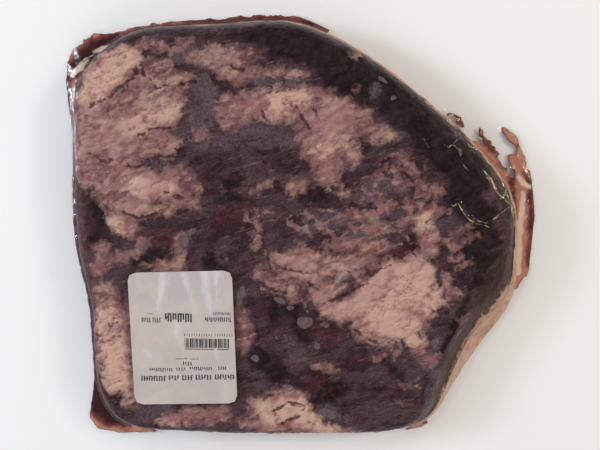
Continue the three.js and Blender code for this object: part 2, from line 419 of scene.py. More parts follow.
# Fat on the lean side: strokes of points (x, y, half-width), all in millimetres.
FAT_ISLANDS = [
    # the pale lump at the far left corner and the lobes beside it
    [(-117, 82, 8.5), (-108, 92, 10), (-97, 100, 8.5)],
    [(-84, 95, 5.5), (-75, 95, 5.5)],
    [(-120, 80, 6), (-123, 68, 5.5), (-124, 54, 5.5), (-123, 40, 5), (-119, 30, 4.5)],
    [(-122, 92, 3), (-112, 102, 3), (-100, 106, 3)],
    [(-90, 108, 1.6), (-80, 110, 2), (-70, 107, 1.6), (-62, 110, 1.2)],
    [(-91, 86, 4), (-78, 87, 4.5), (-66, 88, 4), (-60, 90, 2)],
    # the left field
    [(-117, 65, 9), (-100, 72, 12), (-85, 76, 10), (-71, 76, 8.5)],
    [(-92, 66, 8), (-76, 67, 8)],
    [(-120, 50, 7), (-105, 56, 11), (-90, 55, 10), (-77, 54, 8), (-72, 54, 4)],
    [(-57, 59, 3), (-51, 58, 2)],
    [(-120, 40, 7), (-106, 40, 9), (-96, 44, 7)],
    [(-106, 31, 9), (-92, 30, 9), (-78, 27, 7), (-66, 23, 5), (-61, 19, 3)],
    [(-74, 34, 4), (-63, 33, 4.5), (-58, 28, 2.5)],
    [(-112, 24, 6), (-102, 18, 7), (-92, 15, 5), (-82, 14, 3.5), (-72, 17, 3)],
    [(-107, 9, 5), (-101, 5, 6), (-96, 8, 3)],
    [(-115, -8, 4), (-115, -15, 4.5), (-118, -21, 4)],
    [(-109, -16, 2.2), (-99, -10, 2.8), (-90, -4, 2)],
    [(-71, -1, 2.4), (-69, -12, 2.8), (-68, -21, 3.4)],
    [(-90, -20, 1.6), (-78, -18, 2.4), (-70, -19, 2)],
    # down the left side and under the label
    [(-113, -34, 7), (-112, -48, 9.5), (-111, -62, 10), (-109, -76, 10), (-107, -90, 9)],
    [(-99, -40, 2.5), (-98, -60, 3), (-97, -84, 3), (-100, -100, 4)],
    [(-80, -113, 3), (-66, -108, 5), (-55, -108, 5), (-44, -106, 4)],
    # the far tongue and the middle field
    [(-56, 103, 3), (-46, 101, 6), (-38, 97, 7), (-30, 93, 5), (-22, 92, 2.4), (-10, 91, 1.8),
     (3, 90, 1.2)],
    [(-44, 104, 3), (-33, 102, 3), (-24, 99, 1.5)],
    [(-38, 72, 7.5), (-25, 74, 8), (-12, 74, 9.5), (2, 74, 10), (14, 72, 10), (26, 68, 9),
     (36, 64, 6)],
    [(-40, 64, 3), (-30, 67, 3)],
    [(40, 60, 4), (48, 58, 4.5), (53, 57, 2)],
    [(12, 60, 12), (14, 50, 9.5), (17, 40, 8), (19, 32, 4.5)],
    [(28, 54, 8), (34, 43, 3)],
    # small fat between the muscle's bundles, right of the middle
    [(58, 44, 1.0), (53, 41, 0.4), (57, 34, 0.3), (61, 26, 0.4), (62, 18, 0.9)],
    [(63, 43, 1.2), (67, 36, 0.6), (71, 29, 0.4), (76, 24, 1.2), (69, 18, 1.1)],
    [(46, 34, 0.2), (46, 26, 0.2), (47, 17, 0.4)],
    [(76, 26, 1.6), (82, 28, 0.8)],
    [(29, 13, 1.0), (38, 13, 1.6), (48, 15, 1.2), (56, 19, 0.4)],
    [(31, 5, 1.2), (40, 5, 2.4), (51, 6, 2.4), (60, 8, 1.4)],
    [(24, 28, 2.4), (28, 22, 2)],
    [(-3, 27, 3), (3, 28, 3)],
    [(-24, 26, 1.4), (-19, 28, 1.4)],
    [(-28, 11, 0.7), (-22, 12, 1), (-15, 12, 0.7)],
    [(-24, 11, 0.6), (-23, 3, 1.3), (-24, -6, 1.1)],
    # the net of fat left of the mound
    [(18, -5, 0.6), (24, -6, 1.2), (33, -5, 2.4), (42, -6, 3.6), (52, -4, 3.2)],
    [(-14, -14, 3.4), (-3, -14, 5.6), (6, -15, 7), (15, -17, 6), (24, -16, 5.8), (34, -13, 6),
     (43, -15, 5)],
    [(-4, -22, 3), (6, -25, 3.4), (16, -27, 3), (24, -29, 2.4)],
    [(-23, -21, 2.2), (-17, -27, 3), (-9, -31, 3.8)],
    [(-13, -20, 2), (-7, -24, 2.8), (-1, -22, 2.6)],
    [(-3, -33, 2.6), (0, -38, 2.6)],
    [(13, -33, 4), (18, -38, 4.5), (14, -41, 2.5)],
    [(33, -22, 2), (36, -27, 3)],
    [(-34, -44, 2.4), (-30, -53, 4), (-30, -61, 4.5), (-33, -66, 2.5)],
    # the mound
    [(17, -44, 3), (26, -45, 6), (36, -41, 9), (47, -35, 13), (60, -28, 15), (69, -21, 10)],
    [(66, -34, 10), (78, -34, 6.5), (85, -37, 2)],
    [(66, -15, 4), (73, -12, 3)],
    [(50, -22, 4), (44, -28, 4)],
    [(84, -22, 1.6), (87, -31, 1.8), (92, -33, 0.2)],
    [(40, -50, 7), (55, -50, 11), (66, -44, 12)],
    [(66, -56, 6), (71, -63, 5), (76, -69, 4), (80, -72, 2)],
    [(34, -54, 2), (44, -60, 3), (53, -62, 2)],
    [(76, -6, 5), (73, 2, 5), (70, 9, 4.5), (75, 15, 3.2), (84, 17, 2)],
    [(66, 14, 1.5), (64, 20, 1)],
    # the small curl, the bits along the right and the blob on the near edge
    [(56, -69, 0.8), (59, -67, 1.1), (59, -63, 0.9)],
    [(92, -11, 1.4), (92, -13, 1.2)],
    [(85, -3, 0), (90, 2, 0.2), (95, 5, 0.4), (100, 9, -0.4)],
    [(88, -6, -0.2), (95, -3, 0), (103, 2, -0.5)],
    [(92, -18, -0.4), (99, -15, -0.5)],
    [(95, -49, 0.6), (99, -46, 0)],
    [(96, -57, -0.2), (93, -60, -0.4)],
    [(12, -77, 1.4), (18, -77, 1.4), (22, -79, 0.2)],
    [(45, -71, -0.2), (50, -71, 0)],
    [(62, -87, -0.3), (70, -89, -0.5)],
    [(60, -97, -0.6), (68, -100, -0.6), (74, -104, -0.8)],
    [(29.5, 106, -0.2), (30.5, 103.5, 0.2), (34, 102, 0.9), (38.5, 103, 0.1)],
    [(34, 83.5, -0.2)],
    [(61, 88, -0.4), (64, 86, -0.2)],
    [(-27, -103, 3.6), (-17, -101, 5), (-7, -97, 6), (1, -98, 5)],
    [(-16, -109, 6), (-4, -106, 8), (7, -109, 5)],
    [(-30, -112, 3), (-12, -117, 5), (12, -117, 5), (22, -118, 4), (36, -119, 3)],
]

# The fat cap's ledge, where it shows past the lean at the near right.
CAP_LEDGE = [
    [(133, -26, 5), (127, -36, 7), (120, -48, 8), (112, -60, 8), (106, -72, 8), (100, -86, 7),
     (95, -100, 6), (89, -113, 5)],
]

# Painted shade: a darker brown band on the lean's steep side beside the ledge.
SHADED_LEAN_SIDE = [
    [(120, -18, 5), (113, -36, 6), (104, -52, 6), (96, -68, 6), (90, -84, 6), (84, -102, 5)],
]

# Deeper, near-black lean, with painted shade in the hollows and along the lean's side above the
# ledge.
DARK_LEAN_AND_SHADE = [
    [(-26, 113, 5), (-10, 112, 9), (10, 104, 11), (28, 94, 14), (45, 84, 13), (62, 72, 12),
     (78, 62, 11)],
    [(72, 56, 9), (88, 46, 12), (98, 34, 12), (92, 24, 8), (104, 12, 8), (110, 0, 6),
     (96, -14, 4)],
    [(-48, 33, 2), (-38, 31, 3), (-30, 35, 1)],
    [(-46, 20, 2), (-33, 21, 3), (-22, 22, 1)],
    [(2, 24, 3), (12, 24, 4), (22, 26, 3)],
    [(-12, -45, 5), (0, -43, 4)],
    [(0, -56, 4), (6, -60, 3)],
    [(-22, -72, 7), (-12, -80, 7)],
    [(24, -90, 6), (14, -98, 4)],
    [(-95, -17, 4), (-80, -13, 5)],
    [(-52, -16, 3), (-44, -20, 2.5)],
    [(64, -3, 2.6), (66, -8, 2)],
    [(8, -27, 4)],
    [(26, -34, 3)],
    [(22, -22, 2)],
    [(-118, 14, 5), (-117, 0, 5)],
    [(-108, -99, 3)],
    [(-74, 25, 2.6)],
    [(52, -75, 3), (58, -82, 4)],
    [(112, -10, 4), (100, -30, 3), (90, -52, 2), (84, -76, 3), (78, -98, 3)],
]

# Painted reflection: where the film's sheen turns the lean violet grey.
FILM_SHEEN_STROKES = [
    [(-52, 85, 6), (-55, 75, 8), (-53, 66, 8)],
    [(-64, 57, 5), (-54, 55, 6)],
    [(-42, 53, 3), (-22, 57, 5), (-6, 55, 3)],
    [(-66, 104, 5), (-56, 104, 5)],
    [(-25, 87, 2.4), (-8, 87, 3), (6, 87, 2.2)],
    [(44, 82, 3.4), (44, 76, 3.4)],
    [(37, 64, 2.8), (34, 57, 2)],
    [(82, -56, 4), (80, -62, 3)],
    [(78, -74, 3.4), (83, -80, 3), (80, -95, 3), (77, -108, 2.6)],
    [(-66, -3, 4)],
    [(18, -107, 6), (28, -110, 3.4)],
    [(0, -68, 5), (-4, -62, 4)],
    [(-82, 40, 4), (-68, 38, 4)],
    [(-90, -106, 7), (-80, -106, 5)],
    [(-33, -34, 4)],
    [(38, 25, 6), (56, 31, 6)],
    [(8, 8, 5), (24, 9, 6)],
    [(28, -1, 4), (44, -1, 3)],
]

# Redder meat and blood.
RED_MEAT = [
    [(-134, 78, 4), (-134, 50, 5), (-131, 30, 6), (-128, 5, 8), (-128, -20, 7), (-126, -45, 6),
     (-124, -70, 5), (-121, -95, 4)],
    [(-90, -4, 4), (-76, -1, 4)],
    [(9, 70, 3), (6, 62, 3)],
    [(20, 64, 4), (26, 62, 4)],
    [(56, 43, 4), (60, 39, 3)],
    [(66, -6, 5), (58, -12, 3)],
    [(4, -22, 3), (9, -30, 5), (10, -37, 3)],
    [(-14, -22, 5), (-4, -30, 5)],
    [(50, -17, 3), (55, -15, 2)],
    [(-44, 10, 6), (-28, 16, 4)],
    [(10, -88, 4)],
    [(14, -56, 3), (20, -60, 4)],
    [(40, -74, 3)],
    [(-120, 52, 4), (-108, 53, 3)],
]

# The palest fat.
PALE_FAT = [
    [(-118, 81, 8), (-109, 92, 10), (-98, 100, 8)],
    [(-96, 62, 6), (-72, 72, 6)],
    [(-92, 28, 6), (-74, 26, 5)],
    [(-106, 4, 6)],
    [(-112, -50, 8), (-110, -90, 8)],
    [(-8, 76, 8), (4, 78, 6)],
    [(14, 50, 6)],
    [(20, -45, 4), (34, -42, 8), (47, -35, 12), (60, -28, 15), (69, -21, 10), (76, -34, 10)],
    [(50, -50, 8), (62, -54, 9), (70, -62, 5)],
    [(-17, -104, 8), (0, -104, 8), (20, -118, 6)],
    [(72, 8, 5)],
]

# Pinker fat, where blood has stained it.
FLUSHED_FAT = [
    [(18, -44, 5), (30, -42, 6), (44, -30, 6), (58, -16, 4)],
    [(-6, -16, 5), (8, -24, 6), (16, -34, 4)],
    [(62, -4, 6), (70, -14, 4)],
    [(-100, 12, 5), (-88, 22, 5), (-84, 34, 4)],
    [(-110, 56, 5), (-96, 64, 4)],
    [(10, 66, 5), (28, 64, 5)],
]

# Muscle bundles parted by pale seams.
SEAMED_LEAN = [
    [(0, 8, 7), (24, 9, 9)],
    [(58, 32, 16), (45, 18, 14), (62, 8, 14)],
    [(88, -6, 4)],
    [(38, -4, 12), (0, -18, 14), (-16, -26, 8)],
    [(0, -10, 6), (20, -28, 8)],
]

# Creases between lobes: lines of points (x, y), in millimetres.
CREASES = [
    [(-119, 74), (-113, 77), (-105, 81), (-98, 87), (-92, 90)],
    [(-88, 97), (-87, 92), (-82, 88), (-80, 84), (-72, 86)],
    [(-66, 86), (-57, 87)],
    [(-62, 96), (-55, 93)],
    [(-47, 89), (-43, 85), (-38, 82), (-32, 84), (-24, 85)],
    [(-37, 96), (-29, 93)],
    [(-90, 57), (-83, 61), (-74, 62), (-68, 63)],
    [(-84, 45), (-76, 46), (-68, 46)],
    [(-120, 47), (-114, 43), (-107, 43)],
    [(-97, 40), (-88, 40)],
    [(-100, 13), (-92, 10), (-80, 12)],
    [(-76, 25), (-66, 22)],
    [(-20, 71), (-18, 66)],
    [(0, 73), (3, 66), (8, 61)],
    [(10, 72), (13, 66)],
    [(60, -1), (63, -5), (68, -10)],
    [(24, -88), (15, -97), (9, -105)],
    [(-14, -104), (-6, -100), (2, -101)],
    [(-9, -112), (1, -108)],
    [(16, -39), (28, -34), (40, -26), (46, -20), (54, -16)],
    [(34, -55), (41, -60), (46, -62)],
    [(-22, -28), (-14, -32), (-6, -34)],
    [(-8, -20), (2, -22), (10, -22)],
]
CREASE_HALF = 0.9  # mm
CREASE_DEPTH = 1.1
PIT_DEPTH = 1.6
LOBE_RISE = 0.8
FAR_OFF = 60.0  # mm; beyond every stroke


def along_lines(points, lines):
    """For each stretch of each line: its ends, and where the points lie beside it."""
    for line in lines:
        for a, b in zip(line, line[1:] or line):
            run = np.array((b[0] - a[0], b[1] - a[1]), float)
            off = points[:, :2] - a[:2]
            along = (off @ run / max(run @ run, 1e-9)).clip(0, 1)
            away = np.hypot(*(off - along[:, None] * run).T)
            yield a, b, run, off, along, away


def stroke_depth(points, strokes):
    """How far each point is inside the nearest stroke, in mm: negative when it is outside."""
    best = np.full(len(points), -FAR_OFF)
    for a, b, _, _, along, away in along_lines(points, strokes):
        best = np.maximum(best, a[2] + (b[2] - a[2]) * along - away)
    return best


def line_offsets(points, lines):
    """Each point's distance to the nearest line, with a sign for the side that it is on."""
    near = signed = np.full(len(points), FAR_OFF)
    for _, _, run, off, _, away in along_lines(points, lines):
        side = np.where(run[0] * off[:, 1] - run[1] * off[:, 0] < 0, -1, 1)
        closer = away < near
        near = np.where(closer, away, near)
        signed = np.where(closer, away * side, signed)
    return near, signed


lean_space = bag_space()
cut_level(lean_space, -3.0, keep_above=True)
lean_skin = even_skin(lean_space, LEAN_VOXEL, 6)
cut_level(lean_skin, -2.0, keep_above=True)
lean = to_mesh_object("lean", lean_skin)
points, normals = places(lean.data), outward(lean.data)

bend = np.stack([lumps(points, 16, 3), lumps(points, 16, 4)], 1) * WANDER
bend += np.stack([lumps(points, 5, 5), lumps(points, 5, 6)], 1) * FRAY
bent = points[:, :2] + bend
ledge = stroke_depth(bent, CAP_LEDGE)
fat = np.maximum(stroke_depth(bent, FAT_ISLANDS) + FAT_SPREAD, ledge * LEDGE_SPREAD)
lobe = lobes_of(points, 8, 32)
paint(lean.data, "lobe", lobe)
near, signed = line_offsets(points[:, :2] + bend * 0.35, CREASES)
paint(lean.data, "fat", fat)
paint(lean.data, "ledge", ledge)
paint(lean.data, "pale", np.maximum(stroke_depth(bent, PALE_FAT), ledge + 4))
for looks, strokes in (
    ("deep", DARK_LEAN_AND_SHADE),
    ("side_shade", SHADED_LEAN_SIDE),
    ("flushed", FLUSHED_FAT),
    ("red", RED_MEAT),
    ("seamed", SEAMED_LEAN),
    ("film_sheen", FILM_SHEEN_STROKES),
):
    paint(lean.data, looks, stroke_depth(bent, strokes))
paint(lean.data, "crease", signed)
paint(lean.data, "crease_zone", ramp01(near, 3.2, 0.6))

pits = [s for s in DARK_LEAN_AND_SHADE if len(s) == 1]
sink = LEAN_INSET + LEAN_DROP * ramp01(fat, 1.2, -1.8)
sink += CREASE_DEPTH * np.exp(-((near / CREASE_HALF) ** 2))
sink += LOBE_RISE * ramp01(fat, -0.5, 2.5) * (1 - np.sqrt(lobe))
sink += PIT_DEPTH * ramp01(stroke_depth(bent, pits), -1.5, 2.0)
sink += LEAN_SWELL * (1 + lumps(points, 9, 7))
sink += LEAN_ROUGH * (1 + lumps(points, 3.2, 8))
on_side = ramp01(normals[:, 2], 0.7, 0.2)
over_cap = points[:, 2] - cap_top(points[:, 0], points[:, 1])
sink += on_side * ramp01(over_cap, 6, -1) * SIDE_TUCK
put_places(lean.data, points - normals * sink[:, None])
shade_smooth(lean)

LEAN_GLOSS = 0.13
LEAN = (0.034, 0.014, 0.018)
LEAN_LIGHT = (0.068, 0.037, 0.042)
DEEP = (0.009, 0.004, 0.005)
SHEEN_VIOLET = (0.112, 0.076, 0.090)
SIDE_SHADE_BROWN = (0.052, 0.021, 0.013)
MAROON = (0.080, 0.012, 0.017)
SINEW = (0.20, 0.125, 0.120)
FLUSHED = (0.44, 0.235, 0.220)
CREASE_RED = (0.045, 0.013, 0.013)

tree, where = new_looks(lean, "lean_and_its_fat")
along_grain = drawn_out(tree, where, GRAIN_TURN, FIBRE_STRETCH)
fibres = speckle(tree, along_grain, 900, 4, 0.6, 0.4)
bundles = speckle(tree, along_grain, 260, 3, 0.6, 0.6)
patches = speckle(tree, where, 85, 5, 0.65, 0.5)
fine = speckle(tree, where, 700, 3, 0.7)
bent_space = wavy(tree, where, where, 130, BLOCK_BEND)
along_blocks = drawn_out(tree, bent_space, BLOCK_TURN, BLOCK_STRETCH)
blocks = cells(tree, along_blocks, BLOCKS_PER_METRE, "F1").outputs["Color"]
seam_cells = cells(tree, along_blocks, BLOCKS_PER_METRE, "DISTANCE_TO_EDGE").outputs["Distance"]
block_tone = make_node(tree, "ShaderNodeSeparateColor", {"Color": blocks}).outputs[0]
tone = times_plus(tree, block_tone, 0.34, times(tree, bundles, 0.8))
muscle = tinted(tree, LEAN, LEAN_LIGHT, tone, 0.38, 0.72)
muscle = tinted(tree, muscle, DEEP, patches, 0.52, 0.70, 0.0, 0.6)
muscle = mix_colour(tree, 1.0, muscle, between(tree, fibres, 0.3, 0.7, 0.78, 1.25), "MULTIPLY")
sinews = speckle(tree, along_grain, 560, 3, 0.55, 0.8)
muscle = tinted(tree, muscle, SINEW, sinews, 0.60, 0.70, 0.0, 0.45)
ragged = roughened(tree, painted(tree, "red"), patches, 9.0)
muscle = tinted(tree, muscle, MAROON, ragged, -3.5, 3.0, 0.0, 0.42)
# painted shade: the lean's steep side beside the ledge darkened to brown
ragged = roughened(tree, painted(tree, "side_shade"), patches, 6.0)
muscle = tinted(tree, muscle, SIDE_SHADE_BROWN, ragged, -4.0, 4.0, 0.0, 0.75)
# near-black lean, and painted shade in the hollows and along the side above the ledge
ragged = roughened(tree, painted(tree, "deep"), patches, 13.0)
ragged = roughened(tree, ragged, bundles, 8.0)
muscle = tinted(tree, muscle, DEEP, ragged, -2.4, 2.4, 0.0, 0.82)
# painted sheen: the film's reflection turns the lean violet grey in patches
ragged = roughened(tree, painted(tree, "film_sheen"), patches, 9.0)
ragged = roughened(tree, ragged, fine, 3.0)
sheen_share = between(tree, worked_out(tree, "ADD", fine, patches), 0.78, 1.18, 0.12, 0.90)
sheen_share = times(tree, between(tree, ragged, -1.8, 1.8), sheen_share)
muscle = mix_colour(tree, sheen_share, muscle, SHEEN_VIOLET)
# painted sheen: a faint violet-grey veil of film reflection, less on the darkest lean and the
# shaded side
sheen_veil = between(tree, speckle(tree, where, 60, 4, 0.6, 0.5), 0.52, 0.68, 0.0, 0.30)
sheen_veil = times(tree, sheen_veil, between(tree, painted(tree, "deep"), -5.0, 0.0, 1.0, 0.30))
sheen_veil = times(tree, sheen_veil, between(tree, painted(tree, "side_shade"), -8.0, -3.0, 1.0, 0.0))
muscle = mix_colour(tree, sheen_veil, muscle, SHEEN_VIOLET)
grit = between(tree, speckle(tree, where, 1100, 2, 0.6), 0.30, 0.70, 0.70, 1.32)
muscle = mix_colour(tree, 1.0, muscle, grit, "MULTIPLY")
paleness = between(tree, painted(tree, "pale"), -4.0, 4.0, -0.05, 0.16)
warmth = between(tree, painted(tree, "ledge"), -3.0, 1.0, 0.0, 0.7)
lightest = tinted(tree, CREAM, PALE, painted(tree, "pale"), -3.0, 3.5)
fat_colour, fat_height = fat_looks(tree, where, paleness, warmth, lightest)
fat_colour = tinted(tree, fat_colour, FLUSHED, painted(tree, "flushed"), -4.0, 4.0, 0.0, 0.45)
broken = worked_out(tree, "SUBTRACT", speckle(tree, where, 190, 4, 0.58, 0.8), 0.5)
edge = times_plus(tree, broken, 15.0, painted(tree, "fat"))
edge = roughened(tree, edge, fine, 2.2)
is_fat = between(tree, edge, -1.8, 1.6)
thin_fat = between(tree, edge, 0.0, 4.5, 0.58, 1.0)
colour = mix_colour(tree, times(tree, is_fat, thin_fat), muscle, fat_colour)
seam_zone = times_plus(tree, patches, 9.0, painted(tree, "seamed"))
seam_zone = between(tree, seam_zone, 2.5, 6.5)
seam_width = between(tree, speckle(tree, where, 160, 3), 0.35, 0.65, -0.01, 0.13)
seam = worked_out(tree, "SUBTRACT", seam_width, seam_cells)
seam = times(tree, between(tree, seam, -0.03, 0.05, 0.0, 0.66), seam_zone)
colour = mix_colour(tree, seam, colour, fat_colour)
# the creases' dark red lines: dark tissue, deepened by painted shade in the groove
wander = roughened(tree, painted(tree, "crease"), fine, 1.6)
wander = times_plus(tree, broken, 4.5, wander)
swelling = between(tree, speckle(tree, where, 210, 3), 0.38, 0.64, 0.35, -0.95)
crease_line = worked_out(tree, "ABSOLUTE", wander)
crease_line = worked_out(tree, "ADD", crease_line, swelling)
crease_line = between(tree, crease_line, -0.1, 0.9, 1.0, 0.0)
crease_line = times(tree, crease_line, painted(tree, "crease_zone"))
colour = mix_colour(tree, times(tree, crease_line, 0.85), colour, CREASE_RED)
muscle_height = times_plus(tree, fibres, 0.8, times(tree, fine, 0.5))
heights = {0: is_fat, 2: muscle_height, 3: fat_height}
height = make_node(tree, "ShaderNodeMix", heights, data_type="FLOAT").outputs[0]
wet_surface(tree, colour, height, 0.55, 0.36, LEAN_GLOSS)
rest_on_body(lean, "sealed_bag")

# ----------------------------------------------------------
# Film: the clear bag, drawn tight over the meat by the vacuum. It is one thin skin round
# the whole slab, with fine ridges where it is gathered at the far right and the left side.
# ----------------------------------------------------------
FILM_VOXEL = 1.6
FILM_STAND = 0.10  # mm outside the bag's own surface
FILM_FOOT = 0.06
FILM_RUMPLE = 0.10
FACE_ON_GLOSS = 0.019  # share of light that the film mirrors when seen face on
EDGE_ON_GLOSS = 0.07  # and how much more edge on
FILM_ROUGHNESS = 0.09
FILM_RELIEF = 1.2 * MM
MILKY = (0.75, 0.75, 0.8)

# Ridges where the film is gathered: lines of points (x, y), in millimetres.
FILM_RIDGES = [
    [(84, 54), (88, 57), (93, 55), (99, 51), (105, 46), (110, 40), (115, 34), (119, 27),
     (122, 19)],
    [(92, 20), (95, 14), (98, 10), (104, 7), (108, 6)],
    [(99, 12), (104, 8), (110, 10), (116, 14), (121, 18)],
    [(111, 26), (116, 23), (119, 25), (122, 29)],
    [(69, 53), (73, 50)],
    [(75, 51), (79, 56)],
    [(82, 43), (86, 41)],
    [(88, 31), (92, 37), (97, 41)],
    [(-14, 104), (-8, 106), (-4, 104)],
    [(20, 112), (30, 108), (42, 104)],
    [(-126, 96), (-128, 84), (-127, 72), (-126, 60), (-125, 46), (-124, 30)],
]

skin = bag_space()
film = to_mesh_object("film", even_skin(skin, FILM_VOXEL, 8))
points, normals = places(film.data), outward(film.data)
rumple = FILM_RUMPLE * (1 + lumps(points, 14, 11))
points += normals * (FILM_STAND + rumple)[:, None]
points[:, 2] = np.maximum(points[:, 2], FILM_FOOT)
near, signed = line_offsets(points, FILM_RIDGES)
put_places(film.data, points)
paint(film.data, "ridge", signed)
paint(film.data, "ridge_zone", ramp01(near, 3.5, 0.8))
shade_smooth(film)


def mix_shaders(tree, share, first, second):
    inputs = {0: share, 1: first.outputs[0], 2: second.outputs[0]}
    return make_node(tree, "ShaderNodeMixShader", inputs)


def clear_film(piece, name, ridged, rumple, haze, face_on=FACE_ON_GLOSS, haze_and_glint_tints=(MILKY, MILKY)):
    """Thin clear film: a gloss over what is seen through it, and haze that makes it cloudy in
    patches.

    The last two colours tint the haze at the left end of the pack and at the right; on the
    pleats they are painted reflections, cool of the window and warm of the lamp.
    """
    tree, where = new_looks(piece, name)
    wave = speckle(tree, where, 60, 3, 0.5, 0.4)
    crinkle = speckle(tree, where, 420, 3, 0.6, 1.2)
    height = times_plus(tree, crinkle, 0.12, wave)
    if ridged:
        ridge = worked_out(tree, "ABSOLUTE", painted(tree, "ridge"))
        ridge = between(tree, ridge, 0.0, 1.1, 1.0, 0.0)
        ridge = times(tree, ridge, painted(tree, "ridge_zone"))
        height = times_plus(tree, ridge, 0.9, height)
    normal = bumped(tree, height, rumple, FILM_RELIEF)
    facing = make_node(tree, "ShaderNodeLayerWeight", {"Blend": 0.5, "Normal": normal})
    grazing = worked_out(tree, "POWER", facing.outputs["Facing"], 5.0)
    mirrored = times_plus(tree, grazing, EDGE_ON_GLOSS, face_on)
    inputs = {"Color": (1, 1, 1, 1), "Roughness": FILM_ROUGHNESS, "Normal": normal}
    gloss = make_node(tree, "ShaderNodeBsdfGlossy", inputs)
    clear = make_node(tree, "ShaderNodeBsdfTransparent", {"Color": (1, 1, 1, 1)})
    across = make_node(tree, "ShaderNodeSeparateXYZ", {"Vector": where}).outputs["X"]
    cloud = tinted(tree, *haze_and_glint_tints, across, -0.05, 0.05)
    milky = make_node(tree, "ShaderNodeBsdfDiffuse", {"Color": cloud})
    cloudy = between(tree, speckle(tree, where, 230, 3, 0.6), 0.44, 0.60, 0.0, haze)
    through = mix_shaders(tree, cloudy, clear, milky)
    surface(tree, mix_shaders(tree, mirrored, through, gloss))


clear_film(film, "clear_film", True, 0.5, 0.010)
rest_on_body(film, "sealed_bag")

# ----------------------------------------------------------
# Welded border: the two films where they meet round the meat, trimmed by hand and crumpled.
# A loose skirt from the meat's foot to the bag's edge, with a tent of film at the far left
# corner where it is drawn off the meat's shoulder.
# ----------------------------------------------------------
BORDER_FOOT = 3.3  # mm; height of the skirt where it meets the meat's side
BORDER_RIM = 1.7  # mm; height of the skirt's outer edge
FOOT_OVERLAP = 2.5  # mm that the skirt reaches in under the meat's side
SHEET_STEP = 1.25  # mm
PROBE = 0.3  # mm; how far off the slope of an outline is felt
FILM_THICKNESS = 0.12
BORDER_LOWEST = 1.2
CRUMPLE = (0.9, 0.7)  # mm, in wide and in small folds
TENT_RISE = 2.0  # mm; how much higher the tent meets the meat
TENT = [(-134, 104, 8), (-141, 92, 10), (-141, 76, 10), (-140, 58, 9), (-139, 46, 5)]


def outline(height):
    """The bag's radius at a height, as a function of the direction from the origin."""
    bm = welded("sealed_bag")
    ring = np.array([v.co[:2] for v in slice_up(bm, (0, 0, height * MM))]) / MM
    bm.free()
    angle = np.arctan2(ring[:, 1], ring[:, 0])
    order = np.argsort(angle)
    radius = np.hypot(ring[:, 0], ring[:, 1])[order]
    return lambda x, y: np.interp(np.arctan2(y, x), angle[order], radius, period=2 * math.pi)


border_edge = outline(BORDER_RIM)
meat_foot = outline(BORDER_TOP)


def within_border(points, trim=0.0):
    """How far each point is inside the welded border, in mm."""
    x, y = points[:, 0], points[:, 1]
    away = np.hypot(x, y)
    return np.minimum(border_edge(x, y) - trim - away, away - meat_foot(x, y) + FOOT_OVERLAP)


def border_height(points):
    """Height of the crumpled skirt over each point."""
    x, y = points[:, 0], points[:, 1]
    inner, outer = meat_foot(x, y), border_edge(x, y)
    share = ((np.hypot(x, y) - inner) / (outer - inner)).clip(0, 1)
    flat = np.stack([x, y, np.zeros(len(x))], 1)
    crumple = lumps(flat, 9, 21) * CRUMPLE[0] + lumps(flat, 4, 22, 4) * CRUMPLE[1]
    rise = BORDER_FOOT + (BORDER_RIM - BORDER_FOOT) * share + ramp01(share, 0.1, 0.6) * crumple
    tent = ramp01(stroke_depth(points, [TENT]), -3, 3) * TENT_RISE * (1 - share)
    return np.maximum(rise, BORDER_LOWEST) + tent


def border_sheet(name, inside, lift, thickness):
    """A closed thin sheet over the border's points where inside(points) is above 0."""
    bm = bmesh.new()
    low, high = (np.array(corner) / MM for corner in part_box("sealed_bag"))
    counts = [int((high[i] - low[i]) / SHEET_STEP) + 2 for i in range(2)]
    bmesh.ops.create_grid(bm, x_segments=counts[0], y_segments=counts[1], size=0.5)
    bmesh.ops.scale(
        bm, verts=bm.verts, vec=(counts[0] * SHEET_STEP * MM, counts[1] * SHEET_STEP * MM, 1)
    )
    sheet = to_mesh_object(name, bm)
    depth = inside(places(sheet.data))
    bm = form_of(sheet.data)
    bm.verts.ensure_lookup_table()
    outside = [bm.verts[i] for i in np.flatnonzero(depth < -0.6 * SHEET_STEP)]
    bmesh.ops.delete(bm, geom=outside, context="VERTS")
    bmesh.ops.delete(bm, geom=[v for v in bm.verts if not v.link_faces], context="VERTS")
    edge = [v for v in bm.verts if v.is_boundary]
    at = np.array([v.co[:] for v in edge]) / MM
    here = inside(at)
    nearby = [inside(at + np.array(way) * PROBE) for way in ((1, 0, 0), (0, 1, 0))]
    slope = np.stack([(there - here) / PROBE for there in nearby], 1)
    push = -here[:, None] * slope / np.maximum((slope**2).sum(1), 0.4)[:, None]
    push *= np.minimum(1, SHEET_STEP / np.maximum(np.hypot(*push.T), 1e-6))[:, None]
    for vert, (dx, dy) in zip(edge, push):
        vert.co += Vector((dx, dy, 0)) * MM
    bmesh.ops.smooth_vert(bm, verts=edge, factor=0.3, use_axis_x=True, use_axis_y=True)
    bm.to_mesh(sheet.data)
    points = places(sheet.data)
    points[:, 2] = border_height(points) + lift
    put_places(sheet.data, points)
    bm.free()
    bm = form_of(sheet.data)
    bmesh.ops.solidify(bm, geom=bm.faces[:], thickness=thickness * MM)
    bmesh.ops.recalc_face_normals(bm, faces=bm.faces)
    bm.to_mesh(sheet.data)
    bm.free()
    shade_smooth(sheet)
    return sheet


def ragged_border(points):
    flat = points * (1, 1, 0)
    return within_border(points, 0.2) + np.minimum(lumps(flat, 6, 24, 4) * 1.1, 0.4)


film_border = border_sheet("film_border", ragged_border, 0.0, FILM_THICKNESS)
clear_film(film_border, "border_film", False, 0.8, 0.0)
rest_on_body(film_border, "sealed_bag")

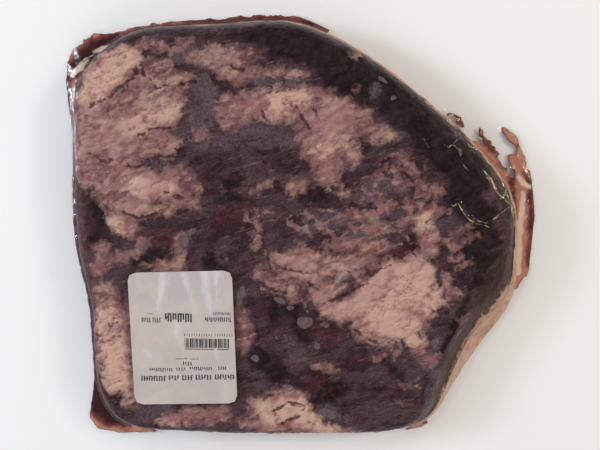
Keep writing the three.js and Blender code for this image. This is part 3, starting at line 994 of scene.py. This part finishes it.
# ----------------------------------------------------------
# Juice: the thin red-brown liquid that the vacuum has drawn out of the meat and into the
# border, between the two films. It lies in flat pools, orange where they are thin.
# ----------------------------------------------------------
JUICE_GAP = 0.22  # mm between the upper film and the juice
JUICE_THICKNESS = 0.5
JUICE_POOLS = [
    # down the right-hand end
    [(126, 45, 2), (131, 38, 5), (134, 28, 6), (135, 16, 7), (135, 4, 7), (134, -8, 7),
     (132, -22, 6), (129, -30, 4)],
    # crumpled tips and the loose strip at the far right
    [(88, 70, 1.5), (94, 70, 2.2), (99.5, 70, 1.2), (103, 71.5, 0.8)],
    [(94, 68, 2), (97, 63, 1.4)],
    [(107, 61.5, 1), (109, 57, 2), (112, 52, 2.6), (117, 47, 2.2)],
    [(104, 53, 2), (112, 46, 3), (119, 38, 3.4), (125, 28, 4)],
    [(120.7, 61, 1.9), (123.5, 59, 2.1), (126.5, 56, 2.2), (129.5, 50.5, 2.2), (131.8, 44, 2.0),
     (133, 38, 2.2)],
    # the corner at the near left
    [(-134, -88, 4), (-131, -102, 8), (-128, -116, 10), (-120, -124, 9), (-108, -127, 6),
     (-92, -130, 3)],
    # thin lines down the left, along the far side and round the near edge
    [(-138, 95, 5), (-140, 84, 5), (-139, 70, 5.5), (-138, 55, 6), (-137, 30, 6), (-137, 0, 6),
     (-133, -35, 6), (-130, -55, 6), (-128.5, -75, 6), (-130, -92, 6)],
    [(-136, 96, 7), (-130, 104, 9), (-120, 110, 8), (-108, 114, 6), (-96, 117, 4)],
    [(-100, 118, 4.5), (-65, 121, 4.5), (-22, 124, 4.5), (9, 124, 4), (22, 120, 3),
     (41, 111, 2), (62, 95, 2), (84, 78, 2)],
    [(-60, -129, 1.6), (-20, -130, 1.4), (30, -130, 1.6), (62, -127, 1.4), (78, -119, 1.6)],
]
DEEP_JUICE = [
    [(133.5, 36, 1.0), (137.2, 29, 1.8), (138.4, 18, 1.7), (138.8, 8, 1.7), (138.2, -8, 1.5),
     (137.6, -20, 1.2)],
    [(126, 33, 1.2), (127, 27, 1.2), (128.5, 8, 0.8), (128, -10, 1.3), (126.5, -20, 1.2)],
    [(96, 68, 0.8), (92, 70, 1.2), (115, 49, 1.2), (111, 57, 0.8), (122, 39, 1.4)],
    [(-131, -100, 5), (-127, -112, 8), (-120, -119, 6), (-108, -123, 3)],
    [(-141, 92, 3), (-141, 60, 3.5), (-138, 20, 5.5), (-135, -30, 5.5), (-130, -60, 5),
     (-130, -96, 5)],
    [(-137, 96, 6), (-128, 104, 8), (-116, 110, 8), (-104, 114, 6)],
    [(-104, 115, 5), (-88, 118, 5), (-60, 121, 5), (-20, 124, 5), (6, 123, 3), (24, 118, 1)],
]
# Painted highlights: pale streaks where the film's folds over the juice catch the light.
FOLD_HIGHLIGHTS = [
    [(-137, 94, 1.2), (-131, 99, 1.8), (-127, 103, 0.9)],
    [(-123, 108, 0.5), (-116, 110, 0.9), (-110, 112, 0.4)],
    [(133.2, 24, 0.9), (132.8, 12, 1.5), (131.8, 2, 1.7), (131.6, -12, 1.8), (132, -24, 1.4)],
    [(130, 34, 1), (133, 30, 1.6), (137, 27, 1)],
    [(128, 6, 1.6), (131, 4, 1.8)],
]


def pooled(points):
    flat = points * (1, 1, 0)
    ragged = lumps(flat, 7, 26, 4) * 1.6 + lumps(flat, 2.4, 27) * 0.5
    return np.minimum(stroke_depth(points, JUICE_POOLS) + ragged, within_border(points, 0.7))


juice = border_sheet("juice", pooled, -FILM_THICKNESS - JUICE_GAP, JUICE_THICKNESS)
points = places(juice.data)
waver = lumps(points * (1, 1, 0), 5, 28) * 1.2
paint(juice.data, "pool_edge", np.maximum(pooled(points), -1))
paint(juice.data, "deep_juice", stroke_depth(points, DEEP_JUICE) + waver)
paint(juice.data, "fold_highlight", stroke_depth(points, FOLD_HIGHLIGHTS) + waver * 0.6)

THIN_JUICE = (0.50, 0.225, 0.150)
RED_JUICE = (0.150, 0.042, 0.035)
DARK_JUICE = (0.045, 0.013, 0.014)
FOLD_HIGHLIGHT_WHITE = (0.76, 0.60, 0.49)

tree, where = new_looks(juice, "meat_juice")
swirl = speckle(tree, where, 130, 4, 0.6, 0.8)
settled = roughened(tree, painted(tree, "deep_juice"), swirl, 5.0)
colour = tinted(tree, THIN_JUICE, RED_JUICE, settled, -2.2, 0.8)
colour = tinted(tree, colour, DARK_JUICE, settled, 0.5, 3.2)
# painted highlights along the film's folds
fold_gleam = roughened(tree, painted(tree, "fold_highlight"), swirl, 3.0)
colour = tinted(tree, colour, FOLD_HIGHLIGHT_WHITE, fold_gleam, -0.9, 0.6, 0.0, 0.92)
colour = tinted(tree, colour, RED_JUICE, painted(tree, "pool_edge"), 0.15, 0.9, 0.75, 0.0)
wet_surface(tree, colour, swirl, 0.5, 0.25)
rest_on_body(juice, "sealed_bag")

# ----------------------------------------------------------
# Gathers: fine sharp pleats where the vacuum has drawn in more film than the meat's corner
# needs. Each is a doubled fold of the film, standing a little proud, so it glints.
# ----------------------------------------------------------
PLEAT_HALF = 0.42  # mm
PLEAT_FLATNESS = 0.47
PLEATS = [
    [(97, 51, 0.5), (101, 50, 1.2), (106, 45, 0.9), (111, 39, 0.8), (115.5, 33, 1),
     (119, 26, 0.8), (121.5, 18, 0.9), (123, 10, 0.4)],
    [(91, 19.5, 0.4), (93.5, 15, 1), (96, 11, 0.7), (100, 8.5, 1.1), (105, 6.5, 1),
     (108.5, 6, 0.5)],
    [(99, 12.5, 0.4), (102.5, 8.6, 1), (107, 8.2, 0.6), (112, 11, 1), (116, 14.5, 0.8),
     (120, 17, 0.4)],
    [(86, 19, 0.3), (89, 18, 0.9), (91, 19.5, 0.5)],
    [(112, 26, 0.4), (115.5, 22.5, 1.2), (117.5, 24.5, 1.2), (121, 28, 0.5)],
    [(115.5, 22.5, 1), (119, 20, 0.9), (121.5, 16, 0.4)],
    [(82, 52.5, 0.4), (85, 50.5, 1.3), (88, 52, 1.2), (90, 54.5, 0.5)],
    [(88, 52, 0.9), (91.5, 48.5, 0.5)],
    [(93.5, 41, 0.3), (95.5, 38.5, 0.9), (97, 37, 0.4)],
    [(120.5, 30, 0.4), (122, 22, 0.7), (123.5, 12, 0.7), (124.5, 4, 0.4)],
    [(71, 55, 0.3), (73.5, 52, 0.7), (74, 50, 0.3)],
    # wider bright folds down the far left side
    [(-137.5, 86, 0.8), (-136.5, 78, 2.4), (-135.5, 70, 2.8), (-136, 61, 2.0),
     (-134.5, 52, 0.8)],
    [(-138.5, 80, 0.6), (-138.8, 68, 1.6), (-137.6, 56, 1.0), (-137, 47, 0.5)],
    [(-134.5, 50, 0.5), (-134.8, 38, 1.1), (-134.2, 24, 0.7), (-133.6, 14, 0.4)],
    [(-131, 100, 0.6), (-128, 103.5, 1.8), (-123, 106, 0.8)],
]
PLEAT_LIFT = 0.1  # mm over the film
PLEAT_STEPS = 5  # from one point of a line to the next
PLEAT_WOBBLE = 0.8  # mm
RAY_START = 0.1  # m; above everything
PLEAT_GLOSS = 0.16
PLEAT_HAZE = 0.55  # the doubled film is cloudy
# painted reflection colours for the pleats' haze: warm of the lamp, cool of the window
LAMP_GLINT_WARM = (0.80, 0.60, 0.34)
WINDOW_GLINT_COOL = (0.95, 0.95, 1.0)


def top_of(piece):
    return BVHTree.FromObject(piece, bpy.context.evaluated_depsgraph_get())


def height_on(top, x, y):
    """Height of a piece's top under a point, all in millimetres."""
    hit = top.ray_cast(Vector((x * MM, y * MM, RAY_START)), Vector((0, 0, -1)))[0]
    return hit.z / MM if hit else 0.0


film_top, border_top = top_of(film), top_of(film_border)


def over_film(x, y):
    """Height of the film's face or its border's, whichever is higher."""
    return max(height_on(film_top, x, y), height_on(border_top, x, y)) + PLEAT_LIFT


curve = bpy.data.curves.new("pleat_lines", "CURVE")
curve.dimensions = "3D"
curve.bevel_depth = PLEAT_HALF * MM
curve.bevel_resolution = 0
curve.use_fill_caps = True
for number, line in enumerate(PLEATS):
    spline = curve.splines.new("POLY")
    steps = PLEAT_STEPS * (len(line) - 1) + 1
    spline.points.add(steps - 1)
    for i in range(steps):
        ahead = min(i // PLEAT_STEPS, len(line) - 2)
        share = i / PLEAT_STEPS - ahead
        (ax, ay, ar), (bx, by, br) = line[ahead], line[ahead + 1]
        x, y = ax + (bx - ax) * share, ay + (by - ay) * share
        wobble = noise.noise_vector(Vector((x / 3, y / 3, number)))
        x, y = x + wobble.x * PLEAT_WOBBLE, y + wobble.y * PLEAT_WOBBLE
        half = (ar + (br - ar) * share) * (0.8 + 0.5 * wobble.z)
        spline.points[i].co = (x * MM, y * MM, over_film(x, y) * MM, 1)
        spline.points[i].radius = max(half, 0.2)
lines = bpy.data.objects.new("pleat_lines", curve)
bpy.context.scene.collection.objects.link(lines)
bm = finished_form(lines)
bmesh.ops.remove_doubles(bm, verts=bm.verts, dist=0.001 * MM)
for vert in bm.verts:
    x, y, z = vert.co / MM
    ground = over_film(x, y)
    vert.co.z = (ground + (z - ground) * PLEAT_FLATNESS) * MM
bmesh.ops.recalc_face_normals(bm, faces=bm.faces)
film_pleats = to_mesh_object("film_pleats", bm)
# painted reflections: the pleats' haze is tinted cool like the window at the left and warm like
# the lamp at the right
haze_and_glint_tints = (WINDOW_GLINT_COOL, LAMP_GLINT_WARM)
clear_film(film_pleats, "pleat_film", False, 0.3, PLEAT_HAZE, PLEAT_GLOSS, haze_and_glint_tints)
rest_on_body(film_pleats, "sealed_bag")

# ----------------------------------------------------------
# Bubbles: flat pockets of gas and clear fluid trapped between the film and the lean. They
# are pressed into smooth lens shapes, and look grey over the dark meat.
# ----------------------------------------------------------
# Middle (x, y), half-length, half-width and the turn of each in degrees, in millimetres.
BUBBLES = [
    (5, -51, 4.6, 3.4, 20), (2, -50, 2.6, 2.0, 60), (12, -65, 1.7, 2.1, 0),
    (-25, -73, 2.1, 2.1, 0), (-33, -34, 2.2, 4.6, -20), (-34, -40, 1.8, 3.0, 10),
    (-66, -3, 3.2, 3.6, 30), (-69, -9, 2.6, 3.4, -10), (-62, 2, 3.6, 1.7, 20),
    (-90, -8, 3.0, 1.6, 15), (16, -52, 2.8, 1.4, -10), (70, -84, 2.4, 1.3, 30),
    (-41, -14, 1.5, 1.2, 0), (-10, -38, 3.8, 1.9, -25), (-4, -42, 2.2, 1.5, 0),
    (-54, -24, 3.2, 1.2, -40), (-12, -60, 0.8, 0.8, 0), (6, -44, 0.9, 0.8, 0),
    (92, 48, 1.1, 2.2, 10), (54, 78, 1.5, 1.2, 30), (48, 88, 3.0, 1.3, -35),
    (90, 58, 0.7, 1.6, 30), (18, -106, 5.4, 2.6, -15), (80, -62, 3.2, 2.2, 60),
]
BUBBLE_RISE = 0.16  # mm above the meat
BUBBLE_DEPTH = 0.26
FROTH_ZONE = (-61, 105, 9, 5)  # mm: middle, half-length and half-width
FROTH_COUNT = 34
FROTH_SIZES = (0.22, 0.5)
BUBBLE_DARK = (0.17, 0.118, 0.124)
BUBBLE_LIGHT = (0.25, 0.185, 0.19)

lean_top = top_of(lean)
scatter = np.random.default_rng(7)
froth = [
    (FROTH_ZONE[0] + FROTH_ZONE[2] * a, FROTH_ZONE[1] + FROTH_ZONE[3] * b, size, size, 0)
    for a, b, size in zip(
        scatter.uniform(-1, 1, FROTH_COUNT),
        scatter.uniform(-1, 1, FROTH_COUNT),
        scatter.uniform(*FROTH_SIZES, FROTH_COUNT),
    )
]
bm = bmesh.new()
for x, y, half_long, half_wide, turn in BUBBLES + froth:
    small = half_long < 1
    ball = bmesh.ops.create_uvsphere(
        bm, u_segments=10 if small else 32, v_segments=6 if small else 12, radius=1
    )["verts"]
    turned = Matrix.Rotation(math.radians(turn), 4, "Z")
    shape = Matrix.Diagonal((half_long * MM, half_wide * MM, BUBBLE_DEPTH / 2 * MM, 1))
    bmesh.ops.transform(bm, matrix=turned @ shape, verts=ball)
    for vert in ball:
        at = vert.co / MM
        ripple = noise.noise_vector(Vector((at.x + x, at.y + y, 0)) / 2.6) * (0 if small else 0.8)
        px, py = at.x + x + ripple.x, at.y + y + ripple.y
        vert.co = Vector((px, py, at.z + height_on(lean_top, px, py) + BUBBLE_RISE)) * MM
bmesh.ops.recalc_face_normals(bm, faces=bm.faces)
bubbles = to_mesh_object("gas_bubbles", bm)
shade_smooth(bubbles)
tree, where = new_looks(bubbles, "bubble_haze")
cloud = tinted(tree, BUBBLE_DARK, BUBBLE_LIGHT, speckle(tree, where, 300, 3), 0.3, 0.7)
inputs = {"Base Color": cloud, "Roughness": 0.3, "IOR": 1.33, "Alpha": 0.42}
surface(tree, make_node(tree, "ShaderNodeBsdfPrincipled", inputs))
rest_on_body(bubbles, "sealed_bag")

# ----------------------------------------------------------
# Price label: a sheet of white coated paper with rounded corners, stuck on the film. It has
# gone soft and creased with the film under it, so it puckers along its far edge.
# ----------------------------------------------------------
# Creases across the paper: points (x, y) and the crease's half-width, in millimetres.
LABEL_CREASES = [
    [(-78, -20, 1.2), (-77.5, -28, 0.8), (-79, -36, 0.2), (-81, -43, -1)],
    [(-53, -20, 1.6), (-52, -30, 1.2), (-50.5, -38, 0.6), (-50, -47, -0.8)],
    [(-46, -20, 0.6), (-46.5, -30, 0.2), (-46, -38, -1)],
    [(-66, -21, 0.2), (-63, -32, -0.4), (-60, -44, -1.2)],
    [(-70, -50, -1.2), (-70.5, -58, -0.8), (-67, -68, -1.4)],
    [(-90, -68, -0.8), (-86, -72, -1.2)],
    [(-48, -67, -0.8), (-46, -74, -1.2)],
]
CREASE_RISE = 0.45  # mm
LABEL_SWELL = 0.14
LABEL_STEP_CUTS = 3

bm = welded("price_label")
bmesh.ops.subdivide_edges(bm, edges=bm.edges[:], cuts=LABEL_STEP_CUTS, use_grid_fill=True)
bmesh.ops.recalc_face_normals(bm, faces=bm.faces)
label = to_mesh_object("creased_label", bm)
points = places(label.data)
pucker = stroke_depth(points, LABEL_CREASES) + lumps(points * (1, 1, 0), 6, 42) * 1.0
swell = LABEL_SWELL * (1 + lumps(points * (1, 1, 0), 17, 41))
points[:, 2] += CREASE_RISE * ramp01(pucker, -2.4, 1.2) + swell
put_places(label.data, points)
paint(label.data, "pucker", pucker)

PAPER = (0.50, 0.455, 0.450)
PAPER_LIT = (0.66, 0.64, 0.68)
PAPER_WARM = (0.56, 0.495, 0.455)

tree, where = new_looks(label, "coated_paper")
cloud = speckle(tree, where, 55, 4, 0.6, 0.5)
fibre = speckle(tree, where, 1500, 3, 0.7)
paper = tinted(tree, PAPER, PAPER_WARM, cloud, 0.38, 0.62)
# painted highlights: cool pale streaks along the puckered creases
crease_highlight = roughened(tree, painted(tree, "pucker"), cloud, 4.0)
paper = tinted(tree, paper, PAPER_LIT, crease_highlight, -4.0, 1.6, 0.0, 0.75)
paper = mix_colour(tree, 1.0, paper, between(tree, fibre, 0.2, 0.8, 0.94, 1.05), "MULTIPLY")
wet_surface(tree, paper, times_plus(tree, cloud, 2.0, fibre), 0.25, 0.32)
rest_on_body(label, "price_label")

# ----------------------------------------------------------
# Print: what the shop's label printer has burnt into the paper, as plain dashes and bars.
# Rows of short upright dashes stand for the print, and a block of bars for the code.
# ----------------------------------------------------------
PRINT_RISE = 0.05  # mm above the paper
PRINT_DEPTH = 0.12
# Rows of dashes: left and right ends x, middle y, height, pitch and width of a dash, in mm.
PRINT_ROWS = [
    (-77.0, -62.0, -48.5, 5.2, 1.45, 0.85),
    (-91.0, -86.5, -50.0, 2.9, 1.05, 0.5),
    (-84.5, -80.5, -50.0, 2.9, 1.05, 0.5),
    (-87.5, -85.0, -46.2, 0.8, 0.6, 0.25),
    (-48.5, -39.0, -45.8, 1.7, 0.85, 0.35),
    (-53.5, -39.0, -49.3, 2.7, 1.05, 0.5),
    (-66.0, -50.0, -58.8, 1.6, 1.45, 0.3),
    (-48.0, -38.0, -58.6, 1.6, 1.35, 0.3),
    (-71.0, -65.0, -73.2, 0.8, 0.7, 0.28),
    (-62.5, -58.0, -73.2, 0.8, 0.7, 0.28),
    (-67.0, -62.5, -76.0, 2.4, 1.2, 0.6),
    (-87.0, -74.0, -80.0, 2.0, 1.25, 0.5),
    (-71.0, -66.5, -79.4, 2.0, 1.25, 0.5),
    (-63.0, -50.5, -78.9, 2.0, 1.25, 0.5),
    (-46.0, -42.0, -78.5, 2.0, 1.25, 0.5),
    (-92.0, -78.5, -85.4, 3.1, 1.5, 0.72),
    (-75.5, -70.5, -84.9, 3.1, 1.5, 0.72),
    (-67.5, -62.5, -84.6, 3.1, 1.5, 0.72),
    (-59.5, -51.0, -84.2, 3.1, 1.5, 0.72),
    (-48.0, -37.5, -83.8, 3.1, 1.5, 0.72),
]
BARS = (-66.0, -40.0, -63.6, 5.6)  # ends x, middle y and height of the block of bars
BAR_WIDTHS = (0.3, 0.3, 0.55, 0.3, 0.8, 0.3, 0.55)
UNDERLINE = (-66.0, -40.0, -67.2, 0.45)
UNDERLINE_PIECES = 8  # so that it bends with the paper
INK = (0.022, 0.020, 0.024)
WORN_INK = (0.060, 0.055, 0.062)

label_top = top_of(label)


def print_mark(bm, x, y, wide, high):
    """One thin raised mark, laid on the paper and turned with the label."""
    mark = bmesh.ops.create_cube(bm, size=1)["verts"]
    for vert in mark:
        flat = Vector((x + vert.co.x * wide, y + vert.co.y * high, 0))
        rise = PRINT_RISE if vert.co.z > 0 else PRINT_RISE - PRINT_DEPTH
        vert.co = Vector((flat.x, flat.y, height_on(label_top, flat.x, flat.y) + rise)) * MM


bm = bmesh.new()
for left, right, middle, high, pitch, wide in PRINT_ROWS:
    count = max(int((right - left) / pitch), 1)
    for i in range(count + 1):
        x = left + (right - left) * i / count
        tall = high * scatter.choice((1.0, 0.95, 0.72, 1.0))
        print_mark(bm, x, middle + (high - tall) / 2, wide, tall)
        if scatter.random() < 0.6 and wide >= 0.5:
            lower = middle + high * scatter.choice((-0.42, 0.0, 0.42))
            print_mark(bm, x + pitch * 0.45, lower, pitch * 0.4, high * 0.16)
x, number = BARS[0], 0
while x < BARS[1]:
    wide = BAR_WIDTHS[number % len(BAR_WIDTHS)]
    print_mark(bm, x + wide / 2, BARS[2], wide, BARS[3])
    x += wide + BAR_WIDTHS[(number * 3 + 2) % len(BAR_WIDTHS)] * 0.8
    number += 1
for i in range(UNDERLINE_PIECES):
    run = (UNDERLINE[1] - UNDERLINE[0]) / UNDERLINE_PIECES
    print_mark(bm, UNDERLINE[0] + run * (i + 0.5), UNDERLINE[2], run, UNDERLINE[3])
label_print = to_mesh_object("label_print", bm)
tree, where = new_looks(label_print, "burnt_print")
ink = tinted(tree, INK, WORN_INK, speckle(tree, where, 900, 3), 0.35, 0.7)
wet_surface(tree, ink, speckle(tree, where, 1500), 0.1, 0.5)
rest_on_body(label_print, "price_label")

# ----------------------------------------------------------
# Studio: a pale floor, four large soft lights, a cool window on the left and a small warm
# lamp at the far right, and the camera looking down on the pack.
# ----------------------------------------------------------
FLOOR_HALF = 1.6  # m
FLOOR_WHITE = (0.88, 0.88, 0.88)
FILL = (1.5, 0.75)  # m; a fill's width and height
# Each light's place and what it points at, its width and height (all in metres), its power
# in watts and its tint, and whether the film mirrors it.
LIGHTS = {
    "left_fill": ((-1.05, 0.15, 0.75), (0, 0, 0), FILL, 6.5, (0.92, 0.96, 1.0), False),
    "far_fill": ((0.10, 1.10, 0.80), (0, 0, 0), FILL, 6.5, (1.0, 0.98, 0.96), False),
    "right_fill": ((1.05, -0.10, 0.75), (0, 0, 0), FILL, 4.6, (1.0, 0.96, 0.92), False),
    "near_fill": ((0.0, -1.10, 0.75), (0, 0, 0), FILL, 5.5, (1.0, 0.98, 0.97), False),
    "window": (
        (-1.44, 0.22, 0.65), (-0.1, 0.03, 0.01), (0.42, 0.25), 12.5, (0.80, 0.88, 1.0), True
    ),
    "lamp": ((1.23, 0.49, 0.89), (0.1, 0.03, 0.02), (0.22, 0.22), 6.0, (1.0, 0.80, 0.55), True),
}
SKY = (0.96, 0.97, 1.0)
SKY_STRENGTH = 0.10
LENS = 39.6  # mm, on a sensor 36 mm wide

floor_sheet = bmesh.new()
bmesh.ops.create_grid(floor_sheet, x_segments=1, y_segments=1, size=FLOOR_HALF)
floor = to_mesh_object("floor", floor_sheet)
tree, where = new_looks(floor, "floor_paper")
inputs = {"Base Color": (*FLOOR_WHITE, 1), "Roughness": 0.9, "Specular IOR Level": 0.1}
surface(tree, make_node(tree, "ShaderNodeBsdfPrincipled", inputs))

for name, (place, target, size, power, tint, mirrored) in LIGHTS.items():
    light = bpy.data.lights.new(name, "AREA")
    light.shape = "RECTANGLE"
    light.size, light.size_y = size
    light.energy = power
    light.color = tint
    lamp = bpy.data.objects.new(name, light)
    lamp.location = place
    lamp.rotation_euler = (Vector(target) - Vector(place)).to_track_quat("-Z", "Y").to_euler()
    lamp.visible_glossy = mirrored
    bpy.context.scene.collection.objects.link(lamp)

world = bpy.data.worlds.new("studio")
world.use_nodes = True
sky = world.node_tree.nodes["Background"]
sky.inputs["Color"].default_value = (*SKY, 1)
sky.inputs["Strength"].default_value = SKY_STRENGTH
bpy.context.scene.world = world
bpy.context.scene.view_settings.view_transform = "Standard"
bpy.context.scene.cycles.transparent_max_bounces = 32

CAMERA_PLACE = Vector((0.0213, 0.0454, 0.400))
CAMERA_TARGET = Vector((0.0013, 0.0054, 0.015))
view_way = (CAMERA_TARGET - CAMERA_PLACE).normalized()
right_way = view_way.cross(Vector((0, 1, 0))).normalized()
up_way = right_way.cross(view_way)
lens = bpy.data.cameras.new("camera")
lens.lens = LENS
lens.sensor_width = 36
camera = bpy.data.objects.new("camera", lens)
camera.matrix_world = Matrix.Translation(CAMERA_PLACE) @ Matrix(
    (right_way, up_way, -view_way)
).transposed().to_4x4()
bpy.context.scene.collection.objects.link(camera)
bpy.context.scene.camera = camera
